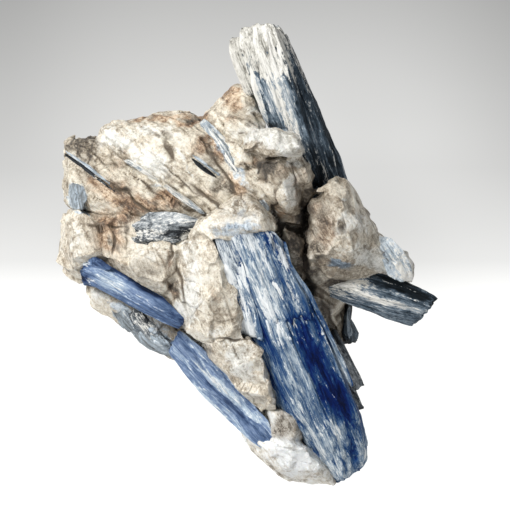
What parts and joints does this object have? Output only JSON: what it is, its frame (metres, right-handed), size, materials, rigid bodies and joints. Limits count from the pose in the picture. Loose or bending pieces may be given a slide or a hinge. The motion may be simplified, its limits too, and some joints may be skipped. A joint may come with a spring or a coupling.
{
  "type": "kyanite blade cluster",
  "caption": "Rough mineral specimen: flat blue kyanite blades grown through a broken mass of white and brown quartz, lying on its flat back.",
  "frame": {"origin": "under the middle of the specimen's outline, on the plane of the flat break it lies on", "axes": "+Z out of the side that shows, +Y up the specimen's length, from the tip of the main blade bundle to the end of the upper blade, +X towards the blade that stands out to the right"},
  "size_m": [0.0962, 0.1155, 0.0444],
  "materials": {
    "quartz": "rough broken quartz, cream to brown",
    "kyanite_blue": "satin, striated along the blade",
    "kyanite_slate": "satin, striated along the blade",
    "kyanite_pale": "satin, striated along the blade"
  },
  "bodies": {
    "root": {"quartz_matrix": "quartz", "main_blade_bundle": "kyanite_blue", "upper_blade": "kyanite_slate", "right_blade": "kyanite_slate", "upper_left_blade": "kyanite_blue", "lower_left_blade": "kyanite_blue", "grey_blade": "kyanite_slate", "shelf_blade": "kyanite_pale", "shelf_needle": "kyanite_pale", "dark_needle": "kyanite_slate", "edge_blade": "kyanite_pale", "shoulder_blade": "kyanite_pale", "knob_blade": "kyanite_slate", "low_dark_blade": "kyanite_slate", "low_pale_blade": "kyanite_pale"}
  },
  "joints": []
}
